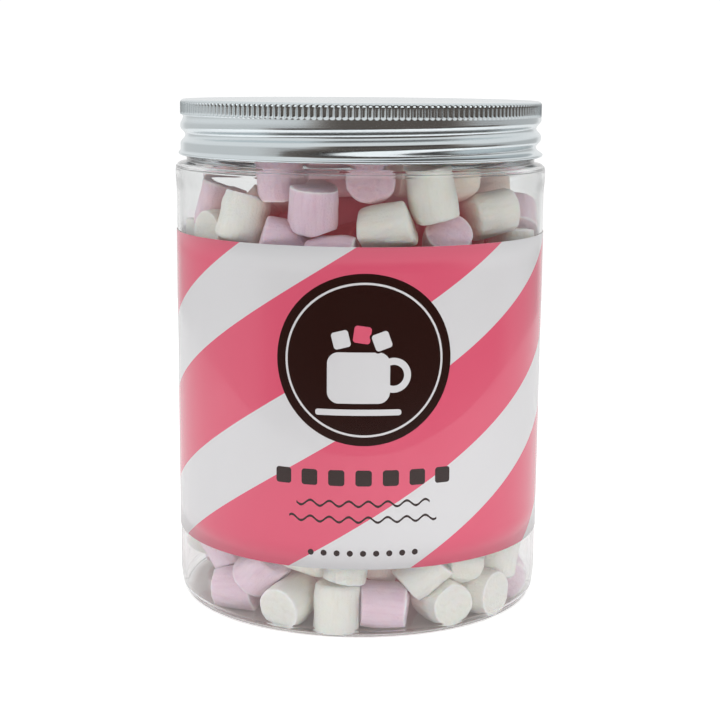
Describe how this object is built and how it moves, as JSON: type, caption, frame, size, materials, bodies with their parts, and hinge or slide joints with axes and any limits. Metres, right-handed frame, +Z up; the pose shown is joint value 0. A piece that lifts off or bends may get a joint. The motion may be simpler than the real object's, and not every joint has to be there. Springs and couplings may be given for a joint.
{
  "type": "jar of marshmallows",
  "caption": "Shut clear plastic jar with a knurled aluminium screw lid and a striped paper wrap label, full of white and pink mini marshmallows.",
  "frame": {"origin": "middle of the jar's foot, on the surface it stands on", "axes": "+Z up along the jar's axis to the lid, -Y towards the label's disc"},
  "size_m": [0.1024, 0.1025, 0.1381],
  "materials": {
    "clear_plastic": "clear blown PET, glossy",
    "lid_aluminium": "satin clear-lacquered aluminium",
    "label_paper": "satin printed paper, pink and white diagonal stripes with a dark brown disc",
    "marshmallow": "matte, powdery, soft; white and pale pink pieces"
  },
  "bodies": {
    "root": {"jar": "clear_plastic", "lid": "lid_aluminium", "label": "label_paper", "marshmallows": "marshmallow"}
  },
  "joints": []
}
